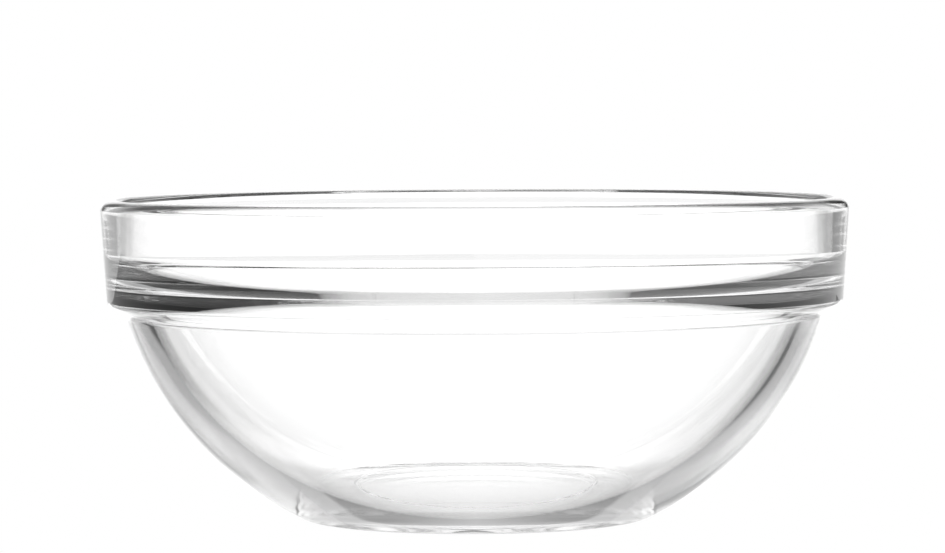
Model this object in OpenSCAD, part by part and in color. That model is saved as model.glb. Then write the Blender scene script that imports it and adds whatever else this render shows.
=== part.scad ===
// Clear pressed-glass prep bowl: a straight stacking band above a round body, on a flat base.
// It is one piece of glass, turned round +Z. The origin is on the table, under the middle of the foot.

/* [Overall] */
// Widest diameter, across the band just under the rim
bowl_d = 170; // [150:1:230]
// Height from the table to the top of the rim
bowl_h = 73; // [66:1:88]

/* [Rim and band] */
// Thickness of the wall at the rim, whose edge is round all the way over
rim_t = 3.6; // [2.6:0.1:4.4]
// Radius of the rim's inner edge; the outer edge has the rest of the thickness as its radius
rim_inner_r = 1.2; // [0.8:0.1:2]
// Height of the band, from the top of the rim down to the corner of its shoulder
band_h = 23.7; // [21:0.1:27]
// How far the outside of the band draws in between the rim and the shoulder
band_draft = 1.4; // [0.6:0.1:2]
// Radius of the shoulder's outer corner
shoulder_r = 1.6; // [0.8:0.1:2]
// How far the underside of the shoulder falls on its way in to the body
shoulder_fall = 2; // [1.5:0.1:3]
// Gap all round between this body and the rim of a like bowl that it is stacked in
stack_gap = 1.8; // [0.8:0.1:2.4]

/* [Ledge inside the band] */
// Depth below the top of the rim at which the wall would meet the sloping ledge without a cove
ledge_depth = 15.2; // [14:0.1:16.5]
// How far the inside wall draws in between the rim and the ledge
inner_draft = 0.3; // [0.1:0.1:1]
// Angle between the sloping ledge and the upright
ledge_angle = 37.5; // [34:0.5:45]
// Radius of the cove, the hollow between the inside wall and the ledge
cove_r = 10.9; // [6:0.1:12]
// Radius of the nose, the rounding between the ledge and the inside of the body
nose_r = 14.8; // [8:0.1:18]
// Thickness of the body where it meets the underside of the shoulder, measured level
body_t = 5; // [4.6:0.1:5.4]

/* [Body] */
// Radius of the arc that shapes the outside of the body
body_arc_r = 75.6; // [70:0.1:90]
// Radius of the arc that shapes the inside of the body
inner_arc_r = 70.6; // [67:0.1:80]

/* [Base] */
// Radius at which the body's outside would meet the table if the foot had no rounding
foot_corner_r = 38.8; // [37:0.1:42]
// Radius of the rounding between the foot and the body
foot_r = 5; // [3:0.1:9]
// Thickness of the base at its middle, above the table
base_t = 5.1; // [4.2:0.1:7]
// Radius of the flat middle of the floor inside the bowl
floor_r = 27.8; // [22:0.1:29]
// Radius at which the sloping floor would meet the inside of the body if the heel had no rounding
floor_corner_r = 36.3; // [35:0.1:38]
// How far the floor rises between its flat middle and that radius
floor_rise = 0.4; // [0.2:0.1:1]
// Radius of the heel, the rounding between the floor and the inside of the body
heel_r = 10; // [6:0.5:12]
// Radius of the shallow hollow under the base, inside the ring that the bowl stands on
hollow_r = 29.6; // [24:0.1:31]
// Depth of that hollow at its middle
hollow_depth = 0.6; // [0.3:0.1:1.2]

/* [Hidden] */
$fn = 180;
// How far a straight step of the outline may leave the true arc that it follows
arc_sag = 0.01;
// Rim: its top, and the centres of its inner and outer edges
rim_outer_r = rim_t - rim_inner_r;
rim_top = [bowl_d / 2 - rim_outer_r, bowl_h];
rim_inner_centre = rim_top - [0, rim_inner_r];
rim_outer_centre = rim_top - [0, rim_outer_r];
// Outside of the band: where it leaves the rim, and the corner of its shoulder
band_top = [bowl_d / 2, bowl_h - rim_outer_r];
shoulder = [bowl_d / 2 - band_draft, bowl_h - band_h];
// Inside of the band: where the wall leaves the rim, its corner with the ledge, and a point down the ledge
wall_top = [bowl_d / 2 - rim_t, bowl_h - rim_inner_r];
wall_low = [wall_top[0] - inner_draft, bowl_h - ledge_depth];
ledge_low = wall_low - [sin(ledge_angle), cos(ledge_angle)] * cove_r;
// Outside of the body: from the underside of the shoulder to the foot
body_top = [wall_top[0] - stack_gap, shoulder[1] - shoulder_fall];
foot_corner = [foot_corner_r, 0];
body_arc_centre = arc_centre(body_top, foot_corner, body_arc_r);
// Inside of the body: from the height of the shoulder's underside to the floor
inner_top = body_top - [body_t, 0];
floor_edge = [floor_r, base_t];
floor_corner = [floor_corner_r, base_t + floor_rise];
inner_arc_centre = arc_centre(inner_top, floor_corner, inner_arc_r);
// Hollow under the base, an arc over its own width
hollow_arc_r = (hollow_r * hollow_r + hollow_depth * hollow_depth) / (2 * hollow_depth);
hollow_centre = [0, hollow_depth - hollow_arc_r];
// Centres of the roundings, each a circle that touches the two lines or arcs that it joins
shoulder_centre = corner_centre(band_top, shoulder, body_top, shoulder_r);
cove_centre = corner_centre(wall_top, wall_low, ledge_low, cove_r);
nose_centre = line_arc_centre(wall_low, ledge_low, nose_r, inner_arc_centre, inner_arc_r + nose_r);
heel_centre = line_arc_centre(floor_edge, floor_corner, heel_r, inner_arc_centre, inner_arc_r - heel_r);
foot_centre = line_arc_centre([0, 0], foot_corner, foot_r, body_arc_centre, body_arc_r - foot_r);

// Unit vector
function unit(v) = v / norm(v);
// A quarter turn to the left
function left(v) = [-v[1], v[0]];
// Foot of the perpendicular from p to the line through a and b
function nearest(p, a, b) = a + unit(b - a) * ((p - a) * unit(b - a));
// Point of the circle round c, of radius r, in the direction of p
function on_circle(c, r, p) = c + r * unit(p - c);
// Centre of the arc of radius r that bulges down and out between an upper point a and a lower point b
function arc_centre(a, b, r) =
    let (half = (a - b) / 2, reach = norm(half))
    (a + b) / 2 + left(half) / reach * sqrt(r * r - reach * reach);
// Centre of the circle of radius r that rounds the corner at s between the directions of a and b
function corner_centre(a, s, b, r) =
    let (middle = unit(unit(a - s) + unit(b - s)), sine = abs(left(unit(a - s)) * middle))
    s + middle * r / sine;
// Centre of the circle of radius r that touches the line from a to b on its left, and lies at the
// distance reach from the arc's centre c, on the side of the direction of b
function line_arc_centre(a, b, r, c, reach) =
    let (
        along = unit(b - a),
        start = a + left(along) * r,
        back = (c - start) * along,
        side = (c - start) * left(along),
        right_of_c = along[0] > 0 ? 1 : -1
    )
    start + along * (back + right_of_c * sqrt(reach * reach - side * side));

// Points of the arc round c from a to b the shorter way, in steps within arc_sag, without a itself
function arc(c, a, b) =
    let (
        r = norm(a - c),
        from = atan2(a[1] - c[1], a[0] - c[0]),
        turn = atan2(cross(a - c, b - c), (a - c) * (b - c)),
        steps = ceil(abs(turn) / (2 * acos(1 - arc_sag / r)))
    )
    [for (i = [1:steps]) c + r * [cos(from + turn * i / steps), sin(from + turn * i / steps)]];

// Half outline of the glass, from the axis under the base, up the outside, over the rim and down the inside
module glass_outline() {
    foot_floor = [foot_centre[0], 0];
    foot_side = on_circle(body_arc_centre, body_arc_r, foot_centre);
    shoulder_in = nearest(shoulder_centre, shoulder, body_top);
    shoulder_out = nearest(shoulder_centre, band_top, shoulder);
    cove_out = nearest(cove_centre, wall_top, wall_low);
    cove_low = nearest(cove_centre, wall_low, ledge_low);
    nose_top = nearest(nose_centre, wall_low, ledge_low);
    nose_low = on_circle(inner_arc_centre, inner_arc_r, nose_centre);
    heel_side = on_circle(inner_arc_centre, inner_arc_r, heel_centre);
    heel_floor = nearest(heel_centre, floor_edge, floor_corner);
    polygon(concat(
        // Hollow, foot and body
        [[0, hollow_depth]],
        arc(hollow_centre, [0, hollow_depth], [hollow_r, 0]),
        [foot_floor],
        arc(foot_centre, foot_floor, foot_side),
        arc(body_arc_centre, foot_side, body_top),
        // Shoulder, band and rim
        [shoulder_in],
        arc(shoulder_centre, shoulder_in, shoulder_out),
        [band_top],
        arc(rim_outer_centre, band_top, rim_top),
        arc(rim_inner_centre, rim_top, wall_top),
        // Inside wall, cove, ledge and nose
        [cove_out],
        arc(cove_centre, cove_out, cove_low),
        [nose_top],
        arc(nose_centre, nose_top, nose_low),
        // Inside of the body, heel and floor
        arc(inner_arc_centre, nose_low, heel_side),
        arc(heel_centre, heel_side, heel_floor),
        [floor_edge, [0, base_t]]
    ));
}

module bowl() {
    color([0.86, 0.9, 0.9, 0.4])
        rotate_extrude() glass_outline();
}

bowl();
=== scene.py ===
# %% [markdown]
# A clear glass prep bowl
# The real object is one piece of pressed, tempered glass: a bowl for the kitchen that stacks in its
# own kind. Everything that the eye sees in it is its outline, turned round an axis, and the white and
# dark places of the room that the curved glass bends into view. So this lesson draws the outline with
# care, spins it into a closed shell, gives it a glass that is almost perfect, and then spends its
# effort on the room.

# %% The frame
import math

import bmesh
import bpy
from mathutils import Matrix, Vector


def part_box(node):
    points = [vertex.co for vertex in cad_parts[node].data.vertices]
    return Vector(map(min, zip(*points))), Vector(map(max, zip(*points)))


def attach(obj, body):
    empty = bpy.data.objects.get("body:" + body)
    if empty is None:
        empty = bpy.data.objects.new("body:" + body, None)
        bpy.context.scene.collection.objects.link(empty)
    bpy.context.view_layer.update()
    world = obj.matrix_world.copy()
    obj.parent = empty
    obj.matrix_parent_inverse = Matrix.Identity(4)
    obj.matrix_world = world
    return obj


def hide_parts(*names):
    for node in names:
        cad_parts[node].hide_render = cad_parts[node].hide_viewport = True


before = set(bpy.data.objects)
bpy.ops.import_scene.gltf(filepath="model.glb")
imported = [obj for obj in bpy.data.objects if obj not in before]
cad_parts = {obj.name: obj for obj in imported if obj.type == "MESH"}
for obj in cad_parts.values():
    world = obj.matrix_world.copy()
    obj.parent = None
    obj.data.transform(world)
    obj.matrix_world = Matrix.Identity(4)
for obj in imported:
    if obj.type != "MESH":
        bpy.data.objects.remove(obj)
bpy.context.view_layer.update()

low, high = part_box("bowl")
print("CAD box of the bowl:", [round(v, 4) for v in (*low, *high)])

# %% [markdown]
# The sizes
# The widest diameter and the height come from the frame. The rest are the wall and its roundings in
# metres, the same sizes that the CAD part has, so that the shell fills the same space. An outline is
# easiest to read as pairs: how far from the axis, and how far above the table.

# %% Sizes of the rim, the band and the ledge inside it
MM = 0.001
bowl_r = high.x
bowl_h = high.z
rim_t = 3.6 * MM
rim_inner_r = 1.2 * MM
band_h = 23.7 * MM
band_draft = 1.4 * MM
shoulder_r = 1.6 * MM
shoulder_fall = 2.0 * MM
stack_gap = 1.8 * MM
ledge_depth = 15.2 * MM
inner_draft = 0.3 * MM
ledge_angle = math.radians(37.5)
cove_r = 10.9 * MM
nose_r = 14.8 * MM
print("bowl across and high, mm:", round(2 * bowl_r / MM, 1), round(bowl_h / MM, 1))

# %% Sizes of the body and the base
body_t = 5.0 * MM
body_arc_r = 75.6 * MM
inner_arc_r = 70.6 * MM
foot_corner_r = 38.8 * MM
foot_r = 5.0 * MM
base_t = 5.1 * MM
floor_r = 27.8 * MM
floor_corner_r = 36.3 * MM
floor_rise = 0.4 * MM
heel_r = 10.0 * MM
hollow_r = 29.6 * MM
hollow_depth = 0.6 * MM
groove_half = 0.35 * MM
groove_depth = 0.3 * MM
print("wall and base, mm:", round(body_t / MM, 1), round(base_t / MM, 1))

# %% [markdown]
# Geometry of touching circles
# A pressed shape has no sharp corners: each corner is a circle that touches the two lines or arcs it
# joins. Its centre can be worked out, so no point has to be found by eye. Flat vectors of two numbers
# do this; they are stood up in space only when the outline is drawn.


# %% Where the roundings have their centres
def beside(v):
    """A quarter turn to the left."""
    return Vector((-v[1], v[0]))


def nearest(p, a, b):
    """Foot of the perpendicular from p to the line through a and b."""
    along = (b - a).normalized()
    return a + along * (p - a).dot(along)


def arc_centre(a, b, r):
    """Centre of the arc of radius r that bulges down and out between an upper a and a lower b."""
    half = (a - b) / 2
    reach = half.length
    return (a + b) / 2 + beside(half) / reach * math.sqrt(r * r - reach * reach)


def corner_centre(a, corner, b, r):
    """Centre of the circle that rounds a corner between the directions of a and b."""
    to_a = (a - corner).normalized()
    to_b = (b - corner).normalized()
    middle = (to_a + to_b).normalized()
    return corner + middle * r / abs(beside(to_a).dot(middle))


def line_arc_centre(a, b, r, c, reach):
    """Centre of the circle that touches the line a to b on its left and lies at reach from c."""
    along = (b - a).normalized()
    start = a + beside(along) * r
    back = (c - start).dot(along)
    side = (c - start).dot(beside(along))
    right_of_c = 1 if along[0] > 0 else -1
    return start + along * (back + right_of_c * math.sqrt(reach * reach - side * side))


# %% The corners of this bowl
rim_outer_r = rim_t - rim_inner_r
rim_top = Vector((bowl_r - rim_outer_r, bowl_h))
band_top = Vector((bowl_r, bowl_h - rim_outer_r))
shoulder = Vector((bowl_r - band_draft, bowl_h - band_h))
wall_top = Vector((bowl_r - rim_t, bowl_h - rim_inner_r))
wall_low = Vector((wall_top[0] - inner_draft, bowl_h - ledge_depth))
ledge_low = wall_low - Vector((math.sin(ledge_angle), math.cos(ledge_angle))) * cove_r
body_top = Vector((wall_top[0] - stack_gap, shoulder[1] - shoulder_fall))
inner_top = body_top - Vector((body_t, 0))
foot_corner = Vector((foot_corner_r, 0))
floor_edge = Vector((floor_r, base_t))
floor_corner = Vector((floor_corner_r, base_t + floor_rise))
floor_middle = Vector((0, base_t))
hollow_middle = Vector((0, hollow_depth))
hollow_edge = Vector((hollow_r, 0))
print("shoulder's underside above the table, mm:", round(body_top[1] / MM, 1))

# %% The centres of its arcs and roundings
rim_inner_centre = rim_top - Vector((0, rim_inner_r))
rim_outer_centre = rim_top - Vector((0, rim_outer_r))
body_arc_centre = arc_centre(body_top, foot_corner, body_arc_r)
inner_arc_centre = arc_centre(inner_top, floor_corner, inner_arc_r)
hollow_arc_r = (hollow_r ** 2 + hollow_depth ** 2) / (2 * hollow_depth)
hollow_centre = Vector((0, hollow_depth - hollow_arc_r))
shoulder_centre = corner_centre(band_top, shoulder, body_top, shoulder_r)
cove_centre = corner_centre(wall_top, wall_low, ledge_low, cove_r)
nose_centre = line_arc_centre(wall_low, ledge_low, nose_r, inner_arc_centre, inner_arc_r + nose_r)
heel_centre = line_arc_centre(floor_edge, floor_corner, heel_r, inner_arc_centre, inner_arc_r - heel_r)
foot_centre = line_arc_centre(Vector((0, 0)), foot_corner, foot_r, body_arc_centre, body_arc_r - foot_r)
print("ledge from", round(nearest(cove_centre, wall_low, ledge_low)[1] / MM, 1), "down to",
      round(nearest(nose_centre, wall_low, ledge_low)[1] / MM, 1), "mm above the table")

# %% [markdown]
# Drawing the outline
# In bmesh an arc is one vertex spun about its centre, and a straight stretch is one vertex extruded.
# Glass bends light by the tilt of its surface, so the arcs get far finer steps than a painted object
# would need, and the tightest ones get the finest.

# %% A pen that draws lines and arcs
outline_step = 1.5 * MM
fine_step = 0.35 * MM
turn_step = math.radians(4)


def stand_up(p):
    return Vector((p[0], 0, p[1]))


def line_to(bm, pen, point, step=outline_step):
    """A straight stretch in even steps."""
    start = pen.co.copy()
    end = stand_up(point)
    steps = max(1, round((end - start).length / step))
    for i in range(steps):
        pen = bmesh.ops.extrude_vert_indiv(bm, verts=[pen])["verts"][0]
        pen.co = start.lerp(end, (i + 1) / steps)
    return pen


def arc_to(bm, pen, centre, point, step=outline_step):
    """An arc round the centre to the point, the shorter way."""
    a = Vector((pen.co.x, pen.co.z)) - centre
    b = Vector(point) - centre
    turn = math.atan2(a[0] * b[1] - a[1] * b[0], a.dot(b))
    steps = max(math.ceil(abs(turn) / turn_step), math.ceil(abs(turn) * a.length / step))
    drawn = bmesh.ops.spin(bm, geom=[pen], cent=stand_up(centre), axis=(0, -1, 0), angle=turn, steps=steps,
                           use_merge=False, use_duplicate=False)
    return [v for v in drawn["geom_last"] if isinstance(v, bmesh.types.BMVert)][0]


# %% [markdown]
# The pen's way
# It starts on the axis under the base, goes out over the foot, up the body, round the shoulder and up
# the band to the rim. Then it comes back down the inside to the axis. On the floor it crosses a fine
# groove, which rings the flat disc in the middle, and which shows as a thin line. A groove drawn in
# the mesh stays in any export, where a bump would be lost.


# %% The outline of the glass
def draw_outside(bm):
    foot_side = body_arc_centre + (foot_centre - body_arc_centre).normalized() * body_arc_r
    pen = bm.verts.new(stand_up(hollow_middle))
    pen = arc_to(bm, pen, hollow_centre, hollow_edge)
    pen = line_to(bm, pen, (foot_centre[0], 0))
    pen = arc_to(bm, pen, foot_centre, foot_side)
    pen = arc_to(bm, pen, body_arc_centre, body_top)
    pen = line_to(bm, pen, nearest(shoulder_centre, shoulder, body_top))
    pen = arc_to(bm, pen, shoulder_centre, nearest(shoulder_centre, band_top, shoulder))
    pen = line_to(bm, pen, band_top)
    return arc_to(bm, pen, rim_outer_centre, rim_top)


def draw_inside(bm, pen):
    nose_low = inner_arc_centre + (nose_centre - inner_arc_centre).normalized() * inner_arc_r
    heel_side = inner_arc_centre + (heel_centre - inner_arc_centre).normalized() * inner_arc_r
    pen = arc_to(bm, pen, rim_inner_centre, wall_top)
    pen = line_to(bm, pen, nearest(cove_centre, wall_top, wall_low))
    pen = arc_to(bm, pen, cove_centre, nearest(cove_centre, wall_low, ledge_low), fine_step)
    pen = line_to(bm, pen, nearest(nose_centre, wall_low, ledge_low), fine_step)
    pen = arc_to(bm, pen, nose_centre, nose_low, fine_step)
    pen = arc_to(bm, pen, inner_arc_centre, heel_side)
    pen = arc_to(bm, pen, heel_centre, nearest(heel_centre, floor_edge, floor_corner), fine_step)
    for outward, down in ((2, 0), (1, 0), (0, 1), (-1, 0), (-2, 0)):
        pen = line_to(bm, pen, floor_edge + Vector((outward * groove_half, -down * groove_depth)))
    line_to(bm, pen, floor_middle)


# %% [markdown]
# Turning the outline into a bowl
# One full spin about the upright axis closes the shell. The two ends of the outline lie on the axis,
# so the spin leaves a fan of doubled points there, which are merged before the normals are worked out:
# a glass shader has to know which side is glass.

# %% The bowl's mesh
turn_steps = 300


def spin_bowl():
    bm = bmesh.new()
    draw_inside(bm, draw_outside(bm))
    outline_points = len(bm.verts)
    bmesh.ops.spin(bm, geom=bm.verts[:] + bm.edges[:], cent=(0, 0, 0), axis=(0, 0, 1), angle=math.tau,
                   steps=turn_steps, use_merge=True, use_duplicate=False)
    bmesh.ops.remove_doubles(bm, verts=bm.verts, dist=0.002 * MM)
    bmesh.ops.recalc_face_normals(bm, faces=bm.faces)
    for face in bm.faces:
        face.smooth = True
    print("outline points:", outline_points, "faces:", len(bm.faces), "open edges:",
          sum(1 for edge in bm.edges if len(edge.link_faces) != 2))
    mesh = bpy.data.meshes.new("bowl_glass")
    bm.to_mesh(mesh)
    bm.free()
    bowl = bpy.data.objects.new("bowl_glass", mesh)
    bpy.context.scene.collection.objects.link(bowl)
    return bowl


bowl = spin_bowl()
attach(bowl, "root")
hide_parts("bowl")

# %% [markdown]
# Numbers for materials
# A shader is steered by numbers that change from place to place. The helpers below wire up small sums,
# so that a pattern reads like a formula: where a point is, how a level fades along a length, and noise.


# %% Helpers for nodes
def wire(tree, value, socket):
    """A number is set on the socket itself, and a node's output is linked to it."""
    if isinstance(value, (int, float)):
        socket.default_value = value
    else:
        tree.links.new(value, socket)


def maths(tree, operation, *values):
    node = tree.nodes.new("ShaderNodeMath")
    node.operation = operation
    for i, value in enumerate(values):
        wire(tree, value, node.inputs[i])
    return node.outputs[0]


def fade(tree, value, start, end, at_start, at_end):
    """A soft step from one level to another."""
    node = tree.nodes.new("ShaderNodeMapRange")
    node.interpolation_type = "SMOOTHSTEP"
    levels = {"Value": value, "From Min": start, "From Max": end, "To Min": at_start, "To Max": at_end}
    for name, level in levels.items():
        wire(tree, level, node.inputs[name])
    return node.outputs["Result"]


def place(tree, kind):
    """The three coordinates of the point that is shaded."""
    node = tree.nodes.new("ShaderNodeTexCoord")
    split = tree.nodes.new("ShaderNodeSeparateXYZ")
    tree.links.new(node.outputs[kind], split.inputs[0])
    return split.outputs


def noise(tree, scale, detail):
    node = tree.nodes.new("ShaderNodeTexNoise")
    node.inputs["Scale"].default_value = scale
    node.inputs["Detail"].default_value = detail
    coordinate = tree.nodes.new("ShaderNodeTexCoord")
    tree.links.new(coordinate.outputs["Object"], node.inputs["Vector"])
    return node.outputs[0]


# %% [markdown]
# The glass
# Clear soda glass has an index of 1.52 and takes a little light on the way, which only shows where a
# ray runs round inside the wall for a long stretch. The Principled shader can be this glass: with all
# its weight on transmission it bends light by its index, and a volume node takes the rest.

# %% Clear glass
glass_index = 1.52
absorbed_grey = 0.25
absorbing = 2.0


def clear_glass():
    material = bpy.data.materials.new("clear_glass")
    material.use_nodes = True
    tree = material.node_tree
    shader = tree.nodes["Principled BSDF"]
    shader.inputs["Base Color"].default_value = (1, 1, 1, 1)
    shader.inputs["IOR"].default_value = glass_index
    shader.inputs["Transmission Weight"].default_value = 1.0
    inside = tree.nodes.new("ShaderNodeVolumeAbsorption")
    inside.inputs["Color"].default_value = (absorbed_grey, absorbed_grey, absorbed_grey, 1)
    inside.inputs["Density"].default_value = absorbing
    tree.links.new(inside.outputs[0], tree.nodes["Material Output"].inputs["Volume"])
    return material, tree, shader


glass, glass_tree, glass_shader = clear_glass()
bowl.data.materials.append(glass)
print("glass nodes:", len(glass_tree.nodes))

# %% [markdown]
# Waves from the mould
# Pressed glass is cast against a steel mould and then polished by flame, so it is smooth but never
# quite true: very shallow waves remain, and they make the thin lines wander. A low bump does that
# without touching the form.

# %% Shallow waves
wave_scale = 26.0
wave_detail = 1.0
wave_height = 0.08 * MM


def add_waves(tree, shader):
    bump = tree.nodes.new("ShaderNodeBump")
    bump.inputs["Distance"].default_value = wave_height
    tree.links.new(noise(tree, wave_scale, wave_detail), bump.inputs["Height"])
    tree.links.new(bump.outputs[0], shader.inputs["Normal"])


add_waves(glass_tree, glass_shader)
print("glass nodes with waves:", len(glass_tree.nodes))

# %% [markdown]
# Wear on the foot
# Years on tables and in stacks leave hair-fine scuffs on the ring that the bowl stands on, and nowhere
# else. So the roughness rises only low down and outside the hollow, and noise breaks it up.

# %% Fine wear
worn_height = (0.1 * MM, 0.4 * MM)
ring_edge = (hollow_r - 1.5 * MM, hollow_r)
scuff_scale = 900.0
scuff_detail = 3.0
scuff_noise = (0.45, 0.7)
scuff_roughness = (0.02, 0.22)


def add_foot_wear(tree, shader):
    x, y, z = place(tree, "Object")
    squares = maths(tree, "ADD", maths(tree, "MULTIPLY", x, x), maths(tree, "MULTIPLY", y, y))
    low_down = fade(tree, z, *worn_height, 1.0, 0.0)
    on_ring = fade(tree, maths(tree, "SQRT", squares), *ring_edge, 0.0, 1.0)
    scuffs = fade(tree, noise(tree, scuff_scale, scuff_detail), *scuff_noise, *scuff_roughness)
    worn = maths(tree, "MULTIPLY", maths(tree, "MULTIPLY", low_down, on_ring), scuffs)
    tree.links.new(worn, shader.inputs["Roughness"])


add_foot_wear(glass_tree, glass_shader)
print("glass nodes with wear:", len(glass_tree.nodes))

# %% [markdown]
# The camera
# The photograph is taken from a little above the rim, nearly a metre away with a long lens. The
# camera's distance and height were worked out from how wide the near and far edges of the rings look.

# %% Camera
image_w = 945
image_h = 553
metres_per_pixel = 0.22773 * MM
axis_pixel = (475.0, 205.2)
camera_distance = 0.959
rim_plane = bowl_h - rim_t / 2
camera_height = rim_plane + 109 * metres_per_pixel
camera_roll = math.radians(-0.29)
sensor_mm = 36.0


def aim_camera():
    data = bpy.data.cameras.new("camera")
    data.sensor_width = sensor_mm
    data.lens = sensor_mm * camera_distance / (image_w * metres_per_pixel)
    camera = bpy.data.objects.new("camera", data)
    bpy.context.scene.collection.objects.link(camera)
    stand = Vector((0, -camera_distance, camera_height))
    target = Vector(((image_w / 2 - axis_pixel[0]) * metres_per_pixel, 0,
                     rim_plane - (image_h / 2 - axis_pixel[1]) * metres_per_pixel))
    turn = (target - stand).to_track_quat("-Z", "Y").to_matrix().to_4x4()
    camera.matrix_world = Matrix.Translation(stand) @ turn @ Matrix.Rotation(camera_roll, 4, "Z")
    bpy.context.scene.camera = camera
    print("lens, mm:", round(data.lens, 1))


aim_camera()

# %% [markdown]
# The floor
# Clear glass shows nothing but its surroundings. The camera sees a plain pale floor, made as a sheet
# that glows evenly: a lit one would need a dozen lamps to look as even.

# %% Floor
floor_half = 6.0
floor_z = -0.06 * MM


def glowing(name):
    material = bpy.data.materials.new(name)
    material.use_nodes = True
    nodes = material.node_tree.nodes
    nodes.remove(nodes["Principled BSDF"])
    glow = nodes.new("ShaderNodeEmission")
    material.node_tree.links.new(glow.outputs[0], nodes["Material Output"].inputs[0])
    return material, glow.inputs["Strength"]


def lay_sheet(name, half, height, material):
    bm = bmesh.new()
    bmesh.ops.create_grid(bm, x_segments=1, y_segments=1, size=half)
    bmesh.ops.translate(bm, verts=bm.verts, vec=(0, 0, height))
    mesh = bpy.data.meshes.new(name)
    bm.to_mesh(mesh)
    bm.free()
    sheet = bpy.data.objects.new(name, mesh)
    sheet.data.materials.append(material)
    bpy.context.scene.collection.objects.link(sheet)
    return sheet


pale, pale_strength = glowing("pale_floor")
pale_strength.default_value = 1.0
lay_sheet("floor", floor_half, floor_z, pale)
print("floor across, m:", 2 * floor_half)

# %% [markdown]
# Cards for the glass
# In a room that is white all over, clear glass would almost vanish. So a studio lays dark cards beside
# it and leaves a bright lane behind it. The thin wall bends rays gently and stays white, while the
# thick band and the ledge throw them far out to the sides, onto the cards, and turn black. One sheet
# holds them all, as a formula for how strongly each place glows. The camera doesn't see this sheet,
# only the glass does, so the floor round the bowl stays plain.

# %% The sheet of cards
cards_half = 0.6
cards_z = -0.03 * MM
middle = 10 * MM
cards, card_strength = glowing("floor_cards")
tree = cards.node_tree
x, y, z = place(tree, "Object")
aside = maths(tree, "ABSOLUTE", x)


def left_right(left, right):
    """One level on the left of the bowl and another on its right."""
    return fade(tree, x, -middle, middle, left, right)


print("cards across, m:", 2 * cards_half)

# %% [markdown]
# The bright lane
# The lane widens towards the back. It glows more than white paper does, so that it is still white
# after the glass has taken its share, and the sheet is grey beside it. Under the bowl the lane is in
# soft shade, and in front of the foot all of it falls off.

# %% Lane, grey sides and shade
lane_edge = (45 * MM, 85 * MM)
lane_widening = 0.4
lane_glow = 1.35
grey_glow = 0.47
shade_edge = (8 * MM, 28 * MM)
shade_glow = 0.85
front_edge = (-28.5 * MM, -26.5 * MM)
front_middle = 0.66
front_sides = 0.45
narrower_in_front = maths(tree, "SUBTRACT", aside, maths(tree, "MINIMUM", y, 0.0))
lane = maths(tree, "MULTIPLY_ADD", y, -lane_widening, narrower_in_front)
lane_now = fade(tree, y, *shade_edge, shade_glow, lane_glow)
grey = fade(tree, lane, *lane_edge, lane_now, grey_glow)
front_now = fade(tree, lane, *lane_edge, front_middle, front_sides)
grey = maths(tree, "MULTIPLY", grey, fade(tree, y, *front_edge, front_now, 1.0))
print("lane's nodes:", len(tree.nodes))

# %% [markdown]
# The dark cards
# A card on each side starts at an oblique line: one line near the bowl that leans back strongly, and
# one further out. Both cards end again not far out, where the sheet is grey on the left and white on
# the right, because the right side of the room is the lighter one.

# %% Dark cards
near_line = (80 * MM, 88 * MM)
near_lean = 0.8
near_gap_right = 9 * MM
far_line = (97 * MM, 110 * MM)
far_lean = 0.5
card_left, card_right = 0.03, 0.08
outer_left, outer_right = 0.4, 1.0
card_end = (190 * MM, 250 * MM)
sooner_right = 40 * MM
sooner_front = 80 * MM
near = maths(tree, "ADD", maths(tree, "MULTIPLY_ADD", y, -near_lean, aside), left_right(0.0, near_gap_right))
past_near = fade(tree, near, *near_line, 0.0, 1.0)
past_far = fade(tree, maths(tree, "MULTIPLY_ADD", y, -far_lean, aside), *far_line, 0.0, 1.0)
on_card = maths(tree, "MAXIMUM", past_far, past_near)
outwards = maths(tree, "ADD", aside, left_right(0.0, sooner_right))
outwards = maths(tree, "MAXIMUM", outwards, maths(tree, "SUBTRACT", sooner_front, y))
card_glow = fade(tree, outwards, *card_end, left_right(card_left, card_right), left_right(outer_left, outer_right))
strength = maths(tree, "MULTIPLY_ADD", on_card, maths(tree, "SUBTRACT", card_glow, grey), grey)
tree.links.new(strength, card_strength)
lay_sheet("floor_cards", cards_half, cards_z, cards).visible_camera = False
print("all the cards' nodes:", len(tree.nodes))

# %% [markdown]
# The walls and the ceiling
# A soft white light stands behind the bowl and reaches overhead. The sides of the room and the part
# behind the camera are dark, so each thin line of the glass, which gathers light from far round, has
# its ink. The world is one formula of the direction, in degrees from straight ahead and above level.

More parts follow.
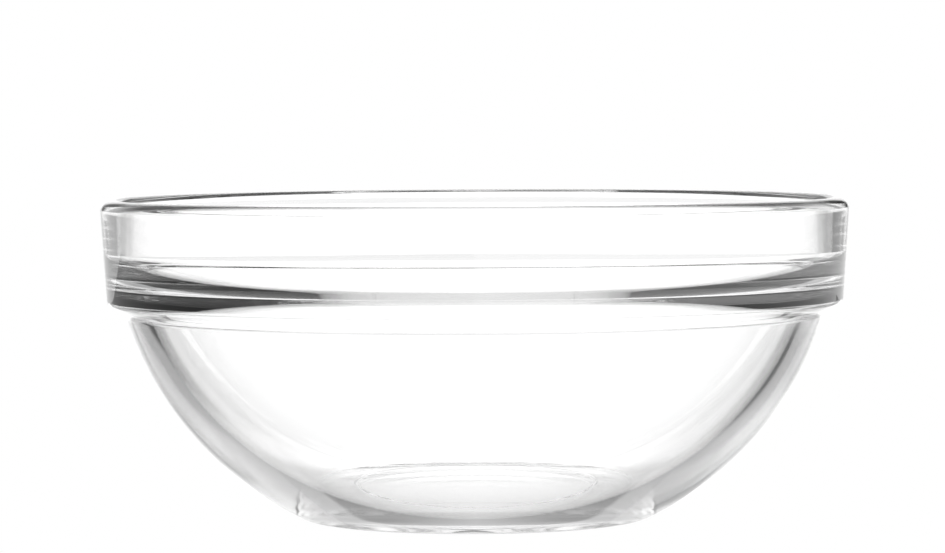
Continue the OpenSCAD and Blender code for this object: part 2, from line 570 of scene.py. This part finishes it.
# %% Directions in the room
world = bpy.data.worlds.new("room")
bpy.context.scene.world = world
world.use_nodes = True
tree = world.node_tree
back = tree.nodes["Background"]
back.inputs["Color"].default_value = (1, 1, 1, 1)
x, y, z = place(tree, "Generated")
turn = maths(tree, "DEGREES", maths(tree, "ARCTAN2", x, y))
apart = maths(tree, "ABSOLUTE", turn)
rise = maths(tree, "DEGREES", maths(tree, "ARCSINE", z))
print("direction nodes:", len(tree.nodes))

# %% Light and dark
light_glow = 1.4
side_left, side_right = 0.24, 0.06
side_blend = 5.0
low_half = (12.0, 18.0)
low_until = (16.0, 24.0)
high_half = (18.0, 26.0)
overhead_from = (55.0, 68.0)
overhead_front = (-0.3, -0.05)
beside_low = maths(tree, "MULTIPLY", fade(tree, apart, *low_half, 0.0, 1.0), fade(tree, rise, *low_until, 1.0, 0.0))
overhead = fade(tree, rise, *overhead_from, 0.0, 1.0)
overhead = maths(tree, "MULTIPLY", overhead, fade(tree, y, *overhead_front, 0.0, 1.0))
away = maths(tree, "MULTIPLY", fade(tree, apart, *high_half, 0.0, 1.0), maths(tree, "SUBTRACT", 1.0, overhead))
in_dark = maths(tree, "MAXIMUM", beside_low, away)
side_glow = fade(tree, turn, -side_blend, side_blend, side_left, side_right)
glow = maths(tree, "MULTIPLY_ADD", in_dark, maths(tree, "SUBTRACT", side_glow, light_glow), light_glow)
print("light nodes:", len(tree.nodes))

# %% [markdown]
# What the camera sees of the room
# The camera itself looks at plain white wherever it turns, as it does at the floor. Standard is the
# view transform that leaves white white.

# %% Plain white for the camera
seen = tree.nodes.new("ShaderNodeLightPath").outputs["Is Camera Ray"]
unseen = maths(tree, "MULTIPLY", glow, maths(tree, "SUBTRACT", 1.0, seen))
tree.links.new(maths(tree, "MAXIMUM", unseen, seen), back.inputs["Strength"])
bpy.context.scene.view_settings.view_transform = "Standard"
print("world nodes:", len(tree.nodes))

# %% [markdown]
# Light inside the glass
# In the thick band a ray may bounce twenty times between the walls before it finds a way out. Blender
# gives up after a few bounces and paints black there, which would draw rings that real glass doesn't
# have, so it is allowed more.

# %% Bounces
most_bounces = 32
cycles = bpy.context.scene.cycles
cycles.max_bounces = most_bounces
cycles.glossy_bounces = most_bounces
cycles.transmission_bounces = most_bounces
print("bounces:", most_bounces)
